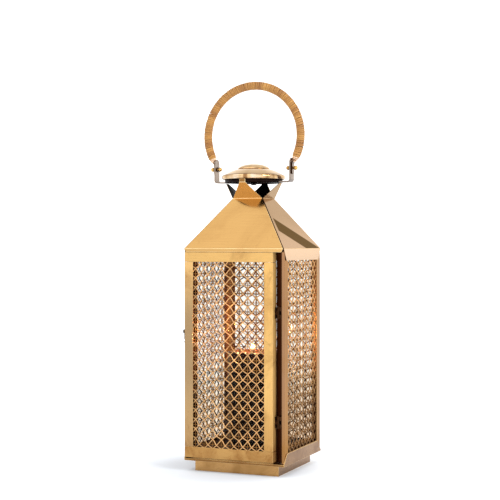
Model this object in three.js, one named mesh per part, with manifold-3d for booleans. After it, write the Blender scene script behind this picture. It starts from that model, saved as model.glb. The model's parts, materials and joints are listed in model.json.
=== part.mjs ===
// Hurricane candle lantern: a square sheet-brass lantern with a hinged front door, cane-weave
// grilles, a four-petal roof, a spun cap and a swinging ring handle wrapped in rattan.
// Units are millimetres. +Z is up and the front, with the door, faces -Y.
// The origin is on the floor, under the middle of the body.
import * as THREE from "three";
import { mergeVertices } from "three/addons/utils/BufferGeometryUtils.js";
import Module from "manifold-3d";

const wasm = await Module();
wasm.setup();

// ---------- driving dimensions ----------

// Fits
const gap = 0.3; // between pieces that touch
const turnGap = 0.3; // around a pin that something turns on
const doorClear = 0.9; // above the sill and below the roof lip
const over = 1; // how far a cutting tool runs past what it cuts

// Sheet
const sheet = 1.2; // door, roof, skirts and cap
const postSheet = 1.5; // posts, rails and plinth

// Body
const bodyHalf = 100; // half the width of the square body
const bodyHeight = 393.4; // posts, from the tray to under the roof
const stileWidth = 17.5; // leg of a rear corner post
const frontLeg = 6.2; // side leg of a front corner post, behind the door
const frontSetBack = 8; // hinge-side post behind the door's front
const frontReturn = 6; // width of that post's front edge
const grooveWidth = 20.4; // hinge groove beside the door
const railHeight = 19; // side rails, top and bottom
const railLip = 8; // inner wall of a top rail

// Plinth and tray
const plinthInset = 15;
const plinthHeight = 20;
const plinthFlange = 12;
const trayThickness = 4;
const flapHeight = 18.7;
const frontInset = 2; // tray's front edge behind the door

// Door
const doorDepth = 19;
const doorStile = 17.4;
const doorTopRail = 18;
const doorBottomRail = 20;
const doorLip = 8; // inward lip along the door's back edges

// Grilles and panes
const grilleThickness = 2.4;
const weavePitch = 17.8; // spacing of the woven cane's holes
const strandWidth = 2.2;
const glassThickness = 2;
const paneOverlap = 4.5; // panes behind the fixed frame
const doorPaneOverlap = 12; // panes behind the door frame

// Roof
const roofRise = 96;
const throatHalf = 31.5; // half width where the petals begin
const petalReach = 25.8; // how far a petal leans out
const petalRise = 30;
const petalTip = 6; // half width of a petal's tip
const petalTab = 7; // upright tab on the front and back petals
const skirtHeight = 22;
const lipHeight = 6.5; // front lip over the door
const hipSlit = 1.4; // open slit along each hip
const skirtCut = 0.7; // how far a skirt's ends are cut back, as a share of its height
const roofSeat = 3; // eave above the posts

// Cap
const brimWidth = 5.7; // dome outside the drum
const drumHeight = 4.5; // above the strap
const brimHeight = 4;
const domeRise = 20;
const crownRadius = 31.5;
const crownRise = 9;
const capSides = 32; // facets round the cap
const boltRadius = 2.5;
const boltHead = 5;

// Handle strap
const strapThickness = 2.5;
const strapHalfWidth = 10;
const strapReach = 79.5; // outer face of an upright leg
const strapLift = 0.5; // strap above the front and back petals' upper bend
const strapTall = 47; // top of a leg above the strap's underside
const strapBend = 5;
const pinHeight = 27.5; // pivot above the strap's underside

// Pivot pins
const pinRadius = 2.25;
const ballRadius = 4.2;

// Ring handle
const ringBulge = 17.5; // ring's centre line outside the strap
const ringSteps = 32; // facets along the ring
const wrapRadius = 8.15;
const rodRadius = 3.5;
const rodShown = 7.4; // bare rod between the wrap and the lug
const lugThickness = 2.2;
const lugHalfWidth = 6;
const lugDrop = 12; // lug below the pivot
const lugRise = 8; // straight part above the pivot
const lugTop = 14; // rod's end above the pivot

// Hinges
const hingeOffset = 6.9; // axis beside the door's edge
const hingeSetBack = 10; // axis behind the door's front
const knuckleRadius = 2.75;
const hingePin = 1.4;
const leafThickness = 1.2;
const leafHeight = 21;
const leafWidth = 7;
const hingeHeights = { upper: 292, lower: 90 };

// Latch
const latchHeight = 264;
const latchSetBack = 6; // pivot behind the door's front
const hookLength = 22;
const hookHalfWidth = 4;
const hookThickness = 1.5;
const screwRadius = 1.6;
const knobRadius = 3.5;
const knobLength = 2.7;
const studRadius = 1.5;
const studHead = 2.5;
const notchClear = 0.6;

// Glass clips in the door
const clipArm = 8;
const clipFoot = 7.5;
const clipHeight = 12;
const clipHeights = [110, 330];

// Candle
const candleRadius = 50;
const candleHeight = 198.5;
const candleRound = 3;
const wickRadius = 0.9;
const wickSunk = 8;
const wickShown = 9;

// ---------- levels and planes that follow ----------

const trayBottom = plinthHeight + gap;
const trayTop = trayBottom + trayThickness;
const bodyBottom = trayTop + gap;
const bodyTop = bodyBottom + bodyHeight;
const openingBottom = bodyBottom + railHeight - postSheet + sheet;
const openingTop = bodyTop - railHeight;
const skinHalf = bodyHalf + gap + sheet; // outside of the skirts and flaps
const eave = bodyTop + roofSeat;
const throat = eave + roofRise;
const petalRadius = throatHalf + petalReach; // outer face of a petal's tip
const petalEnd = throat + petalRise;
const strapBottom = petalEnd + strapLift;
const strapLevel = strapBottom + strapThickness;
const drumRadius = petalRadius - sheet - gap;
const drumBottom = strapLevel + gap;
const drumTop = drumBottom + drumHeight;
const domeRadius = drumRadius + brimWidth;
const domeBottom = drumTop + gap;
const domeTop = domeBottom + domeRise;
const crownBottom = domeTop + gap;
const pivotZ = strapBottom + pinHeight;
const lugInner = strapReach + gap;
const ringRadius = strapReach + ringBulge;
const rodDip = Math.acos((lugInner + rodRadius) / ringRadius); // angle below the ring's centre
const wrapDip = rodDip - rodShown / ringRadius;
const ringZ = pivotZ + lugTop + ringRadius * Math.sin(rodDip);

const doorLeft = -bodyHalf;
const doorRight = bodyHalf - grooveWidth;
const doorFront = -bodyHalf;
const doorBack = doorFront + doorDepth;
const stopFace = doorBack + gap; // face of the body that the door closes on
const sillTop = bodyBottom + postSheet;
const doorBottom = sillTop + doorClear;
const lipBottom = eave - lipHeight;
const doorTop = lipBottom - doorClear / 2;
const hingeSideFront = -bodyHalf + frontSetBack;
const sideFront = stopFace + frontLeg; // front end of a side opening
const sideRear = bodyHalf - stileWidth;
const hingeX = doorRight + hingeOffset;
const hingeY = doorFront + hingeSetBack;
const latchY = doorFront + latchSetBack;
const studY = (stopFace + sideFront) / 2;

// ---------- solids ----------

// A closed geometry as a manifold solid.
function solid(geometry) {
  const bare = geometry.index ? geometry.toNonIndexed() : geometry.clone();
  bare.deleteAttribute("normal");
  bare.deleteAttribute("uv");
  const merged = mergeVertices(bare, 1e-4);
  const kept = [];
  for (let i = 0; i < merged.index.count; i += 3) {
    const [a, b, c] = [0, 1, 2].map((k) => merged.index.getX(i + k));
    if (a !== b && b !== c && c !== a) kept.push(a, b, c);
  }
  const mesh = new wasm.Mesh({
    numProp: 3,
    vertProperties: merged.attributes.position.array,
    triVerts: new Uint32Array(kept),
  });
  return new wasm.Manifold(mesh);
}

function join(first, ...others) {
  return others.reduce((whole, piece) => whole.add(piece), first);
}

function cut(first, ...tools) {
  return tools.reduce((rest, tool) => rest.subtract(tool), first);
}

function block(x0, x1, y0, y1, z0, z1) {
  const geometry = new THREE.BoxGeometry(x1 - x0, y1 - y0, z1 - z0);
  geometry.translate((x0 + x1) / 2, (y0 + y1) / 2, (z0 + z1) / 2);
  return solid(geometry);
}

function shapeOf(outline) {
  return new THREE.Shape(outline.map(([a, b]) => new THREE.Vector2(a, b)));
}

// Local axes, given as the world axes that the outline's first, second and depth directions take.
const ALONG_Z = new THREE.Matrix4();
const ALONG_X = new THREE.Matrix4().makeBasis(
  new THREE.Vector3(0, 1, 0),
  new THREE.Vector3(0, 0, 1),
  new THREE.Vector3(1, 0, 0),
);
const ALONG_Y = new THREE.Matrix4().makeBasis(
  new THREE.Vector3(0, 0, 1),
  new THREE.Vector3(1, 0, 0),
  new THREE.Vector3(0, 1, 0),
);

// A shape pushed along an axis, from one place on it to another.
function prism(shape, axes, from, to) {
  const geometry = new THREE.ExtrudeGeometry(shape, { depth: to - from, bevelEnabled: false });
  geometry.translate(0, 0, from);
  geometry.applyMatrix4(axes);
  return solid(geometry);
}

// A round bar along an axis, centred on (a, b) in the outline's plane.
function bar(radius, a, b, axes, from, to, sides = 16) {
  const geometry = new THREE.CylinderGeometry(radius, radius, to - from, sides);
  geometry.rotateX(Math.PI / 2);
  geometry.translate(a, b, (from + to) / 2);
  geometry.applyMatrix4(axes);
  return solid(geometry);
}

function ball(radius, x, y, z) {
  const geometry = new THREE.SphereGeometry(radius, 12, 8);
  geometry.translate(x, y, z);
  return solid(geometry);
}

// A profile of [radius, height] points turned about the Z axis.
function turned(profile, sides) {
  const geometry = new THREE.LatheGeometry(profile.map(([r, z]) => new THREE.Vector2(r, z)), sides);
  geometry.rotateX(Math.PI / 2);
  return solid(geometry);
}

// A path moved sideways to its left by a distance, with mitred corners.
function offset(path, distance) {
  const points = path.map(([a, b]) => new THREE.Vector2(a, b));
  const normals = points.slice(1).map((point, i) => {
    const way = point.clone().sub(points[i]).normalize();
    return new THREE.Vector2(-way.y, way.x);
  });
  return points.map((point, i) => {
    const before = normals[Math.max(i - 1, 0)];
    const after = normals[Math.min(i, normals.length - 1)];
    const mid = before.clone().add(after).normalize();
    const moved = point.clone().addScaledVector(mid, distance / mid.dot(after));
    return [moved.x, moved.y];
  });
}

// The closed outline of a sheet folded along a path. The sheet lies to the path's left.
function folded(path, thickness) {
  return shapeOf([...path, ...offset(path, thickness).reverse()]);
}

// A folded panel that faces -Y. Its path runs upwards as [distance from the axis, height], and
// halfWidth gives its half width at each bend, for its outer and for its inner surface.
function panel(path, thickness, halfWidth) {
  const inner = offset(path, thickness);
  const corners = [];
  path.forEach(([r, z], i) => {
    const [ri, zi] = inner[i];
    const wide = halfWidth(i, r);
    const narrow = halfWidth(i, ri);
    corners.push([-wide, -r, z], [wide, -r, z], [narrow, -ri, zi], [-narrow, -ri, zi]);
  });
  const faces = [];
  const quad = (a, b, c, d) => faces.push(a, b, c, a, c, d);
  for (let i = 0; i + 1 < path.length; i++) {
    for (let k = 0; k < 4; k++) {
      const next = (k + 1) % 4;
      quad(4 * i + k, 4 * i + next, 4 * i + 4 + next, 4 * i + 4 + k);
    }
  }
  const last = 4 * (path.length - 1);
  quad(3, 2, 1, 0);
  quad(last, last + 1, last + 2, last + 3);
  const geometry = new THREE.BufferGeometry();
  geometry.setAttribute("position", new THREE.Float32BufferAttribute(corners.flat(), 3));
  geometry.setIndex(faces);
  return solid(geometry);
}

// The same panel turned to face another side: 1 is +X, 2 is +Y and 3 is -X.
function facing(side, piece) {
  return piece.rotate([0, 0, 90 * side]);
}

// ---------- the object ----------

const lantern = new THREE.Group();

const finishes = {
  brass: { color: 0xc99a55, roughness: 0.28, metalness: 1 },
  innerBrass: { color: 0x8a6a3c, roughness: 0.4, metalness: 1 },
  caneBrass: { color: 0xdcb478, roughness: 0.35, metalness: 1 },
  nickel: { color: 0xc9c2ba, roughness: 0.3, metalness: 1 },
  steel: { color: 0x77736c, roughness: 0.4, metalness: 1 },
  rattan: { color: 0xc98f4e, roughness: 0.65, metalness: 0 },
  glass: { color: 0xf2f5f2, roughness: 0.03, metalness: 0, transparent: true, opacity: 0.25 },
  wax: { color: 0x2a1a14, roughness: 0.5, metalness: 0 },
  wick: { color: 0x1a1512, roughness: 0.9, metalness: 0 },
};

function add(name, piece, finish) {
  const made = piece.getMesh();
  const indexed = new THREE.BufferGeometry();
  indexed.setAttribute("position", new THREE.BufferAttribute(made.vertProperties, 3));
  indexed.setIndex(new THREE.BufferAttribute(made.triVerts, 1));
  const geometry = indexed.toNonIndexed();
  geometry.computeVertexNormals();
  const mesh = new THREE.Mesh(geometry, new THREE.MeshStandardMaterial(finishes[finish]));
  mesh.name = name;
  lantern.add(mesh);
}

// Plinth: an inverted tray with a flange turned in under its rim.
function makePlinth() {
  const half = bodyHalf - plinthInset;
  const inside = half - postSheet;
  const mouth = half - plinthFlange;
  const shell = block(-half, half, -half, half, 0, plinthHeight);
  const hollow = block(-inside, inside, -inside, inside, postSheet, plinthHeight - postSheet);
  const hole = block(-mouth, mouth, -mouth, mouth, -over, plinthHeight / 2);
  add("plinth", cut(shell, hollow, hole), "brass");
}

// Tray: the floor of the lantern, with a mitred flap turned up on the left, right and back.
function makeTray() {
  const front = bodyHalf - frontInset;
  const floor = block(-skinHalf, skinHalf, -front, skinHalf, trayBottom, trayTop);
  const path = [
    [skinHalf, trayTop - over],
    [skinHalf, trayTop],
    [skinHalf, trayTop + flapHeight],
  ];
  const lengths = [skinHalf - frontInset, skinHalf - frontInset, skinHalf - flapHeight];
  const flap = panel(path, sheet, (i) => lengths[i]);
  const flaps = [1, 2, 3].map((side) => facing(side, flap));
  add("base_tray", join(floor, ...flaps), "brass");
}

// Corner posts: folded sheet, from the tray to under the roof.
function makePosts() {
  const upright = (path, thickness) => prism(folded(path, thickness), ALONG_Z, bodyBottom, bodyTop);
  const rear = [
    [bodyHalf, sideRear],
    [bodyHalf, bodyHalf],
    [sideRear, bodyHalf],
  ];
  const mirrored = (path) => path.map(([x, y]) => [-x, y]);
  add("rear_post_right", upright(rear, postSheet), "brass");
  add("rear_post_left", upright(mirrored(rear).reverse(), postSheet), "brass");
  const latchSide = [
    [doorLeft + doorStile, stopFace],
    [-bodyHalf, stopFace],
    [-bodyHalf, sideFront],
  ].reverse();
  const studHole = bar(studRadius + gap, studY, latchHeight, ALONG_X, -bodyHalf - over, -bodyHalf + 2 * postSheet);
  add("front_post_left", cut(upright(latchSide, postSheet), studHole), "brass");
  const hingeSide = [
    [doorRight, stopFace],
    [bodyHalf - frontReturn, stopFace],
    [bodyHalf - frontReturn, hingeSideFront],
    [bodyHalf, hingeSideFront],
    [bodyHalf, sideFront],
  ];
  add("front_post_right", upright(hingeSide, postSheet), "brass");
}

// Depths behind the outside of the body at which the fixed panes stand.
const grilleFront = postSheet + gap;
const grilleBack = grilleFront + grilleThickness;
const glassFront = grilleBack + gap;
const glassBack = glassFront + glassThickness;
const railInner = glassBack + gap;

// Side and back rails: channels that hold the edges of the panes.
function makeRails() {
  const spans = { right: [1, sideFront, sideRear], back: [2, -sideRear, sideRear], left: [3, -sideRear, -sideFront] };
  for (const [name, [side, from, to]] of Object.entries(spans)) {
    const top = [
      [-bodyHalf, openingTop],
      [-bodyHalf, bodyTop],
      [-bodyHalf + railInner + sheet, bodyTop],
      [-bodyHalf + railInner + sheet, bodyTop - railLip],
    ];
    const bottom = [
      [-bodyHalf + railInner + sheet, bodyBottom + railLip],
      [-bodyHalf + railInner + sheet, bodyBottom],
      [-bodyHalf, bodyBottom],
      [-bodyHalf, bodyBottom + railHeight - gap],
    ];
    const channel = (path) => facing(side, prism(folded(path.reverse(), sheet), ALONG_X, from + gap, to - gap));
    add("top_rail_" + name, channel(top), "brass");
    add("bottom_rail_" + name, channel(bottom), "brass");
  }
}

// Header and sill: folded angles that close the front above and below the door.
function makeFrontRails() {
  const from = doorLeft + doorStile + gap;
  const to = doorRight - gap;
  const shelf = -bodyHalf + frontInset;
  const back = stopFace + postSheet;
  const header = [
    [shelf, bodyTop],
    [back, bodyTop],
    [back, openingTop],
  ];
  const sill = [
    [back, bodyBottom + railHeight],
    [back, bodyBottom],
    [shelf + gap, bodyBottom],
  ];
  add("front_header", prism(folded(header.reverse(), postSheet), ALONG_X, from, to), "brass");
  add("front_sill", prism(folded(sill.reverse(), postSheet), ALONG_X, from, to), "brass");
}

// Roof: four panels, each folded from skirt to slope to petal, with an open slit between them.
function makeRoof() {
  const names = ["roof_panel_front", "roof_panel_right", "roof_panel_back", "roof_panel_left"];
  names.forEach((name, side) => {
    const tucked = side % 2 === 1; // the side petals end under the strap
    const drop = side === 0 ? lipHeight : skirtHeight;
    const path = [
      [skinHalf, eave - drop],
      [skinHalf, eave],
      [throatHalf, throat],
      tucked ? [petalRadius - sheet, strapBottom - gap - sheet] : [petalRadius, petalEnd],
    ];
    if (!tucked) path.push([petalRadius, petalEnd + petalTab]);
    const halfWidth = (bend, radius) => {
      if (bend === 0) return radius - Math.max(skirtCut * drop, hipSlit);
      return bend < 3 ? radius - hipSlit : petalTip;
    };
    add(name, facing(side, panel(path, sheet, halfWidth)), "brass");
  });
}

// Cap: a shallow drum that straddles the strap, a spun dome over it and a small crown, held by
// one bolt and nut.
function makeCap() {
  const hole = boltRadius + gap;
  const drum = [
    [hole, drumBottom],
    [drumRadius - sheet, drumBottom],
    [drumRadius - sheet, strapBottom],
    [drumRadius, strapBottom],
    [drumRadius, drumTop],
    [drumRadius - sheet, drumTop],
    [drumRadius - sheet, drumBottom + sheet],
    [hole, drumBottom + sheet],
    [hole, drumBottom],
  ];
  const reach = drumRadius + over;
  const side = strapHalfWidth + gap;
  const strapSlots = block(-reach, reach, -side, side, strapBottom - over, drumBottom);
  add("cap_drum", cut(turned(drum, capSides), strapSlots), "innerBrass");

  const shoulder = domeBottom + brimHeight;
  const bend = (domeRadius - crownRadius) / 2;
  const outer = [
    [domeRadius, domeBottom],
    [domeRadius, shoulder],
    [domeRadius - 1.6, shoulder + 2.4],
    [crownRadius + bend * 1.45, domeBottom + domeRise * 0.5],
    [crownRadius + bend * 0.75, domeBottom + domeRise * 0.81],
    [crownRadius, domeTop - 0.4],
    [crownRadius - 2, domeTop],
    [hole, domeTop],
  ];
  const inner = offset(outer, sheet);
  inner[0][1] = domeBottom;
  inner[inner.length - 1][0] = hole;
  add("cap_dome", turned([...outer, ...inner.reverse(), outer[0]], capSides), "brass");

  const crown = [];
  const arcSteps = 4;
  for (let i = 0; i <= arcSteps; i++) {
    const angle = (i / arcSteps) * (Math.PI / 2);
    crown.push([crownRadius * Math.cos(angle), crownBottom + crownRise * Math.sin(angle)]);
  }
  crown[arcSteps][0] = 0;
  const hollow = [];
  for (let i = arcSteps; i >= 0; i--) {
    const angle = (i / arcSteps) * (Math.PI / 2);
    const height = (crownRise - sheet) * Math.sin(angle);
    hollow.push([(crownRadius - sheet) * Math.cos(angle), crownBottom + height]);
  }
  hollow[0][0] = 0;
  add("cap_crown", turned([...crown, ...hollow, crown[0]], capSides), "brass");

  const nutBottom = domeTop + gap;
  const nutTop = nutBottom + 4;
  const shank = bar(boltRadius, 0, 0, ALONG_Z, strapBottom - 2 * gap, nutTop + over);
  const head = bar(boltHead, 0, 0, ALONG_Z, strapBottom - gap - 3.7, strapBottom - gap, 6);
  add("cap_bolt", join(shank, head), "steel");
  const nut = bar(boltHead, 0, 0, ALONG_Z, nutBottom, nutTop, 6);
  const thread = bar(boltRadius + gap, 0, 0, ALONG_Z, nutBottom - over, nutTop + over);
  add("cap_nut", cut(nut, thread), "steel");
}

// Half widths of an upright strip with a round top, for points from the straight part to its tip.
function roundEnd(path, from, centreZ, halfWidth, steps) {
  for (let i = 0; i <= steps; i++) {
    const angle = (i / steps) * (Math.PI / 2) * 0.96;
    path.push({ z: centreZ + from * halfWidth * Math.sin(angle), half: halfWidth * Math.cos(angle) });
  }
  return path;
}

// Strap: one strip bent up at both ends, bolted under the cap, that carries the pivot pins.
function makeStrap() {
  const top = strapBottom + strapTall;
  const arc = [];
  for (let i = 0; i <= 3; i++) {
    const angle = (i / 3) * (Math.PI / 2);
    const x = strapReach - strapBend + strapBend * Math.sin(angle);
    arc.push([x, strapBottom + strapBend - strapBend * Math.cos(angle)]);
  }
  const ends = roundEnd([], 1, top - strapHalfWidth, strapHalfWidth, 6);
  const path = [[0, strapBottom], ...arc, ...ends.map(({ z }) => [strapReach, z])];
  const widths = path.map((point, i) => (i < arc.length + 1 ? strapHalfWidth : ends[i - arc.length - 1].half));
  const leg = panel(path, strapThickness, (i) => widths[i]);
  const boltHole = bar(boltRadius + gap, 0, 0, ALONG_Z, strapBottom - over, strapLevel + over);
  const pinHoles = bar(pinRadius + turnGap, 0, pivotZ, ALONG_X, -bodyHalf, bodyHalf);
  add("handle_strap", cut(join(facing(1, leg), facing(3, leg)), boltHole, pinHoles), "nickel");
}

// Pivot pins: a ball-headed pin through each strap leg and handle lug, with a ball nut inside.
function makePins() {
  const lugOuter = lugInner + lugThickness;
  const outerBall = lugOuter + gap + ballRadius;
  const innerBall = strapReach - strapThickness - gap - ballRadius;
  for (const [name, sign] of Object.entries({ left: -1, right: 1 })) {
    const end = sign * (innerBall - ballRadius / 2);
    const start = sign * outerBall;
    const shank = bar(pinRadius, 0, pivotZ, ALONG_X, Math.min(start, end), Math.max(start, end));
    add("pivot_pin_" + name, join(shank, ball(ballRadius, start, 0, pivotZ)), "brass");
    const nut = ball(ballRadius, sign * innerBall, 0, pivotZ);
    const bore = bar(pinRadius + gap, 0, pivotZ, ALONG_X, -bodyHalf, bodyHalf);
    add("ball_nut_" + name, cut(nut, bore), "brass");
  }
}

// Part of a circle in the XZ plane, from low on the right, over the top, to low on the left.
class RingArc extends THREE.Curve {
  constructor(radius, dip) {
    super();
    this.radius = radius;
    this.dip = dip;
  }
  getPoint(t, target = new THREE.Vector3()) {
    const angle = -this.dip + t * (Math.PI + 2 * this.dip);
    return target.set(this.radius * Math.cos(angle), 0, ringZ + this.radius * Math.sin(angle));
  }
}

function circle(radius, sides) {
  return Array.from({ length: sides }, (_, i) => {
    const angle = ((i + 0.5) / sides) * 2 * Math.PI;
    return new THREE.Vector2(radius * Math.cos(angle), radius * Math.sin(angle));
  });
}

function sweep(shape, dip, steps) {
  const options = { steps, extrudePath: new RingArc(ringRadius, dip), bevelEnabled: false };
  return solid(new THREE.ExtrudeGeometry(shape, options));
}

// Handle: a bent rod with a flat lug at each end, sleeved in wound rattan.
function makeHandle() {
  const rod = sweep(new THREE.Shape(circle(rodRadius, 8)), rodDip, ringSteps);
  const outerFace = lugInner + lugThickness;
  const rodEnd = [ringRadius * Math.cos(rodDip), ringZ - ringRadius * Math.sin(rodDip)];
  const low = roundEnd([], -1, pivotZ - lugDrop + lugHalfWidth, lugHalfWidth, 4).reverse();
  const straight = low.map(({ z }) => [outerFace, z]);
  const path = [...straight, [outerFace, pivotZ + lugRise], [rodEnd[0] + lugThickness, rodEnd[1] + over]];
  const widths = [...low.map(({ half }) => half), lugHalfWidth, rodRadius];
  const lug = panel(path, lugThickness, (i) => widths[i]);
  const pinHoles = bar(pinRadius + turnGap, 0, pivotZ, ALONG_X, -bodyHalf, bodyHalf);
  const core = join(rod, facing(1, lug), facing(3, lug));
  add("handle_core", cut(core, pinHoles), "nickel");

  const section = new THREE.Shape(circle(wrapRadius, 12));
  section.holes.push(new THREE.Path(circle(rodRadius + 2 * gap, 8)));
  add("rattan_wrap", sweep(section, wrapDip, ringSteps), "rattan");
}

// Door: a four-piece frame of folded channel, open towards the middle of the door.
function makeDoor() {
  const railTopZ = doorTop - doorTopRail;
  const railBottomZ = doorBottom + doorBottomRail;
  const inner = doorBack - sheet;
  const front = doorFront + sheet;
  const rails = {
    door_rail_top: [railTopZ, doorTop, railTopZ - over, doorTop - sheet, railTopZ - over, doorTop - doorLip],
    door_rail_bottom: [doorBottom, railBottomZ, doorBottom + sheet, railBottomZ + over, doorBottom + doorLip, railBottomZ + over],
  };
  for (const [name, [z0, z1, hollow0, hollow1, mouth0, mouth1]] of Object.entries(rails)) {
    const whole = block(doorLeft, doorRight, doorFront, doorBack, z0, z1);
    const hollow = block(doorLeft + sheet, doorRight - sheet, front, inner, hollow0, hollow1);
    const mouth = block(doorLeft + doorLip, doorRight - doorLip, front, doorBack + over, mouth0, mouth1);
    add(name, cut(whole, hollow, mouth), "brass");
  }
  const z0 = railBottomZ + gap;
  const z1 = railTopZ - gap;
  const channel = (edge, way) => {
    const lip = edge + way * doorLip;
    const path = [
      [lip, doorBack],
      [edge, doorBack],
      [edge, doorFront],
      [edge + way * doorStile, doorFront],
    ];
    return prism(folded(path, way * sheet), ALONG_Z, z0, z1);
  };
  const screwHole = bar(screwRadius + gap, latchY, latchHeight, ALONG_X, doorLeft - over, doorLeft + 2 * sheet);
  add("door_stile_left", cut(channel(doorLeft, 1), screwHole), "brass");
  add("door_stile_right", channel(doorRight, -1), "brass");
}

// A perforated pane of the cane lattice, standing in a plane that faces -Y, with diamond holes
// between every second diagonal strand, centred on the opening.
function grille(x0, x1, z0, z1, edge, y) {
  const plate = shapeOf([
    [z0 - edge, x0 - edge],
    [z1 + edge, x0 - edge],
    [z1 + edge, x1 + edge],
    [z0 - edge, x1 + edge],
  ]);
  const pitch = 2 * weavePitch;
  const reach = weavePitch - strandWidth / Math.SQRT2;
  const across = Math.floor((x1 - x0) / pitch);
  const up = Math.floor((z1 - z0) / pitch);
  for (let i = 0; i < across; i++) {
    for (let j = 0; j < up; j++) {
      const x = (x0 + x1) / 2 + (i - (across - 1) / 2) * pitch;
      const z = (z0 + z1) / 2 + (j - (up - 1) / 2) * pitch;
      const hole = [
        [z - reach, x],
        [z, x + reach],
        [z + reach, x],
        [z, x - reach],
      ];
      plate.holes.push(new THREE.Path(hole.map(([a, b]) => new THREE.Vector2(a, b))));
    }
  }
  return prism(plate, ALONG_Y, y, y + grilleThickness);
}

// Grilles and panes of the three fixed sides, then of the door.
function makePanes() {
  const spans = { right: [1, sideFront, sideRear], back: [2, -sideRear, sideRear], left: [3, -sideRear, -sideFront] };
  for (const [name, [side, from, to]] of Object.entries(spans)) {
    const woven = grille(from, to, openingBottom, openingTop, paneOverlap, -bodyHalf + grilleFront);
    add("grille_" + name, facing(side, woven), "caneBrass");
    const [x0, x1] = [from - paneOverlap, to + paneOverlap];
    const [y0, y1] = [-bodyHalf + glassFront, -bodyHalf + glassBack];
    const pane = block(x0, x1, y0, y1, openingBottom - paneOverlap, openingTop + paneOverlap);
    add("glass_" + name, facing(side, pane), "glass");
  }
  const x0 = doorLeft + doorStile;
  const x1 = doorRight - doorStile;
  const z0 = doorBottom + doorBottomRail;
  const z1 = doorTop - doorTopRail;
  const front = doorFront + sheet + gap;
  add("door_grille", grille(x0, x1, z0, z1, doorPaneOverlap, front), "caneBrass");
  const reach = doorPaneOverlap;
  const glassY = front + grilleThickness + gap;
  const pane = block(x0 - reach, x1 + reach, glassY, glassY + glassThickness, z0 - reach, z1 + reach);
  add("door_glass", pane, "glass");

  const clipY = glassY + glassThickness + gap;
  const clip = (edge, way, z) => {
    const path = [
      [edge + way * clipArm, clipY],
      [edge, clipY],
      [edge, clipY + clipFoot],
    ];
    return prism(folded(path, -way * sheet), ALONG_Z, z, z + clipHeight);
  };
  ["lower", "upper"].forEach((level, i) => {
    const z = clipHeights[i];
    add("glass_clip_left_" + level, clip(doorLeft + sheet + gap, 1, z), "innerBrass");
    add("glass_clip_right_" + level, clip(doorRight - sheet - gap, -1, z), "innerBrass");
  });
}

// Hinges: on each, a leaf on the post with two knuckles, a leaf on the door with one, and a pin.
function makeHinges() {
  for (const [name, z0] of Object.entries(hingeHeights)) {
    const third = leafHeight / 3;
    const bore = bar(hingePin + turnGap, hingeX, hingeY, ALONG_Z, z0 - over, z0 + leafHeight + over);
    const knuckle = (from, to) => bar(knuckleRadius, hingeX, hingeY, ALONG_Z, from, to);
    const web = leafThickness / 2;
    const postFace = bodyHalf - frontReturn - gap;
    const leafBack = hingeY + leafWidth;
    const plate = block(postFace - leafThickness, postFace, hingeY - web, leafBack, z0, z0 + leafHeight);
    const arm = (from, to) => block(hingeX, postFace, hingeY - web, hingeY + web, from, to);
    const lowTop = z0 + third - gap / 2;
    const highBottom = z0 + 2 * third + gap / 2;
    const fixed = join(
      plate,
      arm(z0, lowTop),
      arm(highBottom, z0 + leafHeight),
      knuckle(z0, lowTop),
      knuckle(highBottom, z0 + leafHeight),
    );
    add("hinge_" + name + "_post_leaf", cut(fixed, bore), "brass");
    const doorFace = doorRight + gap;
    const doorPlate = block(doorFace, doorFace + leafThickness, hingeY - web, leafBack, z0, z0 + leafHeight);
    const from = z0 + third + gap / 2;
    const to = z0 + 2 * third - gap / 2;
    const doorArm = block(doorFace, hingeX, hingeY - web, hingeY + web, from, to);
    add("hinge_" + name + "_door_leaf", cut(join(doorPlate, doorArm, knuckle(from, to)), bore), "brass");
    const pin = bar(hingePin, hingeX, hingeY, ALONG_Z, z0 - over, z0 + leafHeight + over);
    const head = bar(knuckleRadius, hingeX, hingeY, ALONG_Z, z0 + leafHeight + gap, z0 + leafHeight + over + gap);
    add("hinge_" + name + "_pin", join(pin, head), "steel");
  }
}

// Latch: a hook that swings on a knob-headed screw in the door's edge, and drops on a stud.
function makeLatch() {
  const outer = -bodyHalf - gap;
  const reach = studY - latchY; // from the pivot to the stud when latched
  const slot = studRadius + notchClear;
  const shape = new THREE.Shape();
  const low = latchHeight - hookLength + hookHalfWidth;
  shape.absarc(latchY, latchHeight, hookHalfWidth, 0, Math.PI, false);
  shape.absarc(latchY, low, hookHalfWidth, Math.PI, 2 * Math.PI, false);
  const blank = prism(shape, ALONG_X, outer - hookThickness, outer);
  const pivot = bar(screwRadius + turnGap, latchY, latchHeight, ALONG_X, outer - 2 * hookThickness, outer + over);
  const notchZ = latchHeight - reach;
  const from = outer - 2 * hookThickness;
  const seat = bar(slot, latchY, notchZ, ALONG_X, from, outer + over);
  const mouth = block(from, outer + over, latchY - 2 * hookHalfWidth, latchY, notchZ - slot, notchZ + slot);
  add("latch_hook", cut(blank, pivot, seat, mouth), "brass");

  const knobBase = outer - hookThickness - gap;
  const shank = bar(screwRadius, latchY, latchHeight, ALONG_X, knobBase, doorLeft + 3 * sheet);
  const knob = bar(knobRadius, latchY, latchHeight, ALONG_X, knobBase - knobLength, knobBase);
  add("latch_screw", join(shank, knob), "steel");
  const neck = bar(studRadius, studY, latchHeight, ALONG_X, knobBase, -bodyHalf + postSheet);
  const cap = bar(studHead, studY, latchHeight, ALONG_X, knobBase - hookThickness, knobBase);
  add("keeper_stud", join(neck, cap), "steel");
}

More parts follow.
